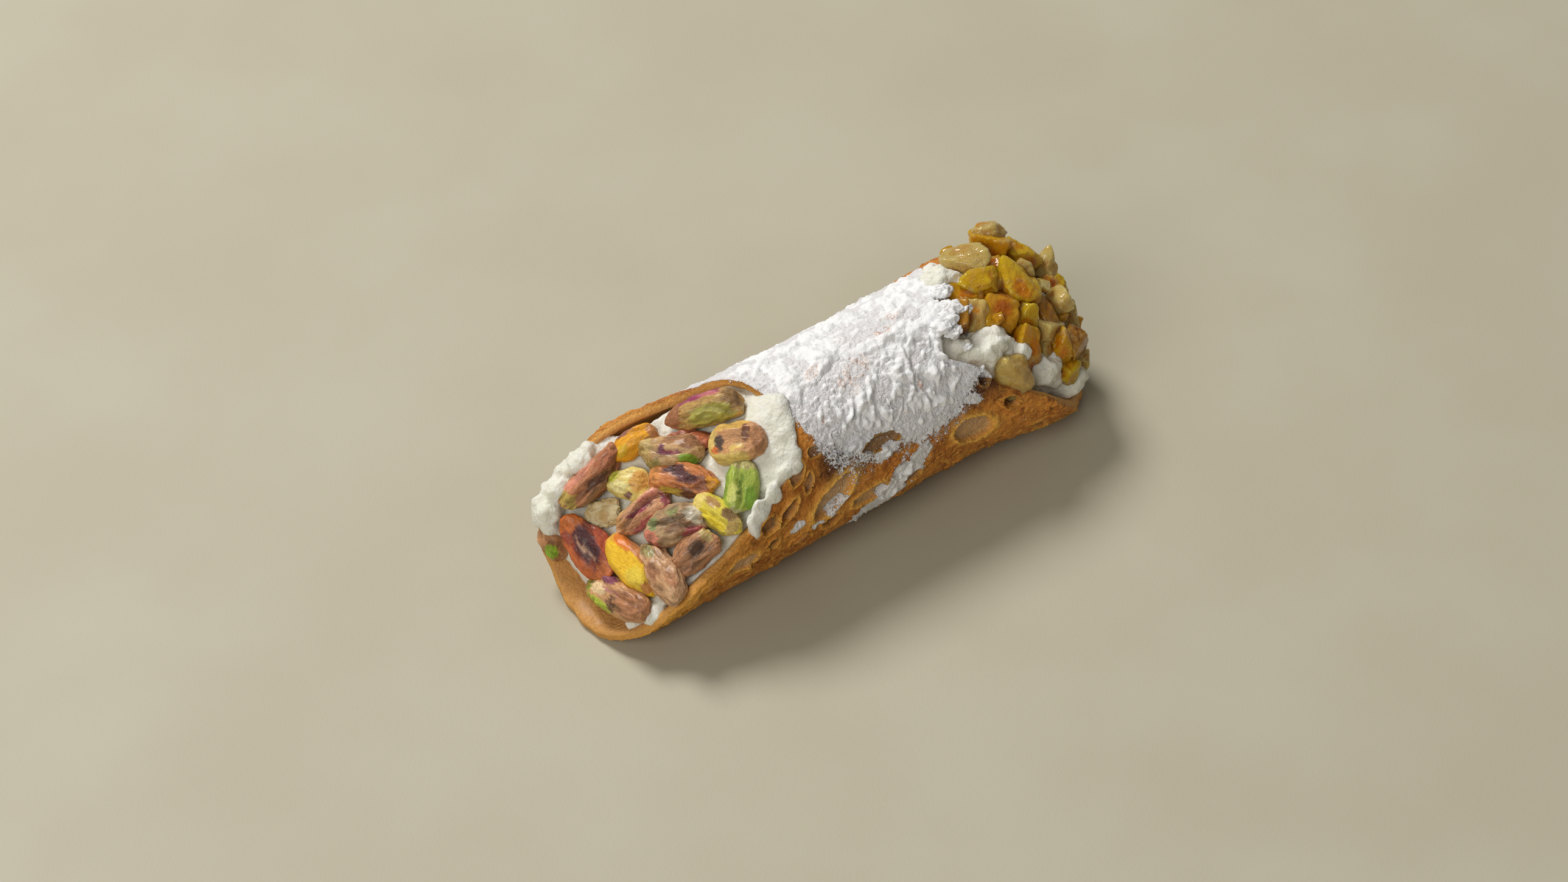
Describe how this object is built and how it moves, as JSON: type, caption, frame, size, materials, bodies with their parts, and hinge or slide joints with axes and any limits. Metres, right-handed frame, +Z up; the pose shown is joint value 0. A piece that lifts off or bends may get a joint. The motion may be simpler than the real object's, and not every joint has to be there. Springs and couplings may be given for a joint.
{
  "type": "cannoli",
  "caption": "Fried pastry tube filled with ricotta cream, pistachio kernels on one slanted end, diced candied peel heaped on the other, icing sugar over the top.",
  "frame": {"origin": "middle of the flat strip the tube rests on, below the middle of the tube", "axes": "+X along the tube towards the candied peel, +Z up"},
  "size_m": [0.1395, 0.0481, 0.0434],
  "materials": {
    "crust": "fried pastry, golden brown, blistered, satin",
    "ricotta_cream": "moist, finely grained, soft white",
    "pale_pastry": "dry pale flake",
    "skin_brown": "dry wrinkled skin",
    "skin_tan": "dry wrinkled skin with green showing",
    "skin_dark": "dark red-brown skin, slightly glossy",
    "skin_rose": "rose-brown skin with a crimson streak",
    "kernel_green": "bare kernel, satin",
    "kernel_gold": "bare ripe kernel, satin",
    "peel_orange": "candied, translucent, glossy",
    "peel_yellow": "candied, translucent, glossy",
    "peel_pale": "candied pith, translucent, sugared",
    "peel_brown": "candied, dark, glossy",
    "icing_sugar": "fine dry powder, matt"
  },
  "bodies": {
    "root": {"shell": "crust", "cream": "ricotta_cream", "pastry_flake": "pale_pastry", "pistachio_magenta": "skin_brown", "pistachio_spotted": "skin_tan", "pistachio_plum": "skin_brown", "pistachio_mottled": "skin_tan", "pistachio_grey": "skin_tan", "pistachio_green": "kernel_green", "pistachio_lime": "kernel_green", "pistachio_gold": "kernel_gold", "pistachio_ember": "skin_dark", "pistachio_streaked": "skin_tan", "pistachio_tan": "skin_tan", "pistachio_wrinkled": "skin_brown", "pistachio_crimson": "skin_rose", "pistachio_cream_green": "kernel_green", "pistachio_russet": "skin_brown", "pistachio_amber": "kernel_gold", "pistachio_tucked": "skin_brown", "pistachio_edge": "kernel_green", "peel_01": "peel_pale", "peel_02": "peel_orange", "peel_03": "peel_pale", "peel_04": "peel_yellow", "peel_05": "peel_orange", "peel_06": "peel_yellow", "peel_07": "peel_pale", "peel_08": "peel_pale", "peel_09": "peel_yellow", "peel_10": "peel_pale", "peel_11": "peel_orange", "peel_12": "peel_pale", "peel_13": "peel_brown", "peel_14": "peel_orange", "peel_15": "peel_orange", "peel_16": "peel_yellow", "peel_17": "peel_pale", "peel_18": "peel_brown", "peel_19": "peel_pale", "peel_20": "peel_orange", "peel_21": "peel_pale", "peel_22": "peel_pale", "peel_23": "peel_orange", "peel_24": "peel_brown", "peel_25": "peel_yellow", "peel_26": "peel_pale", "peel_27": "peel_orange", "peel_28": "peel_yellow", "peel_29": "peel_yellow", "peel_30": "peel_pale", "peel_31": "peel_pale", "peel_32": "peel_orange"}
  },
  "joints": []
}
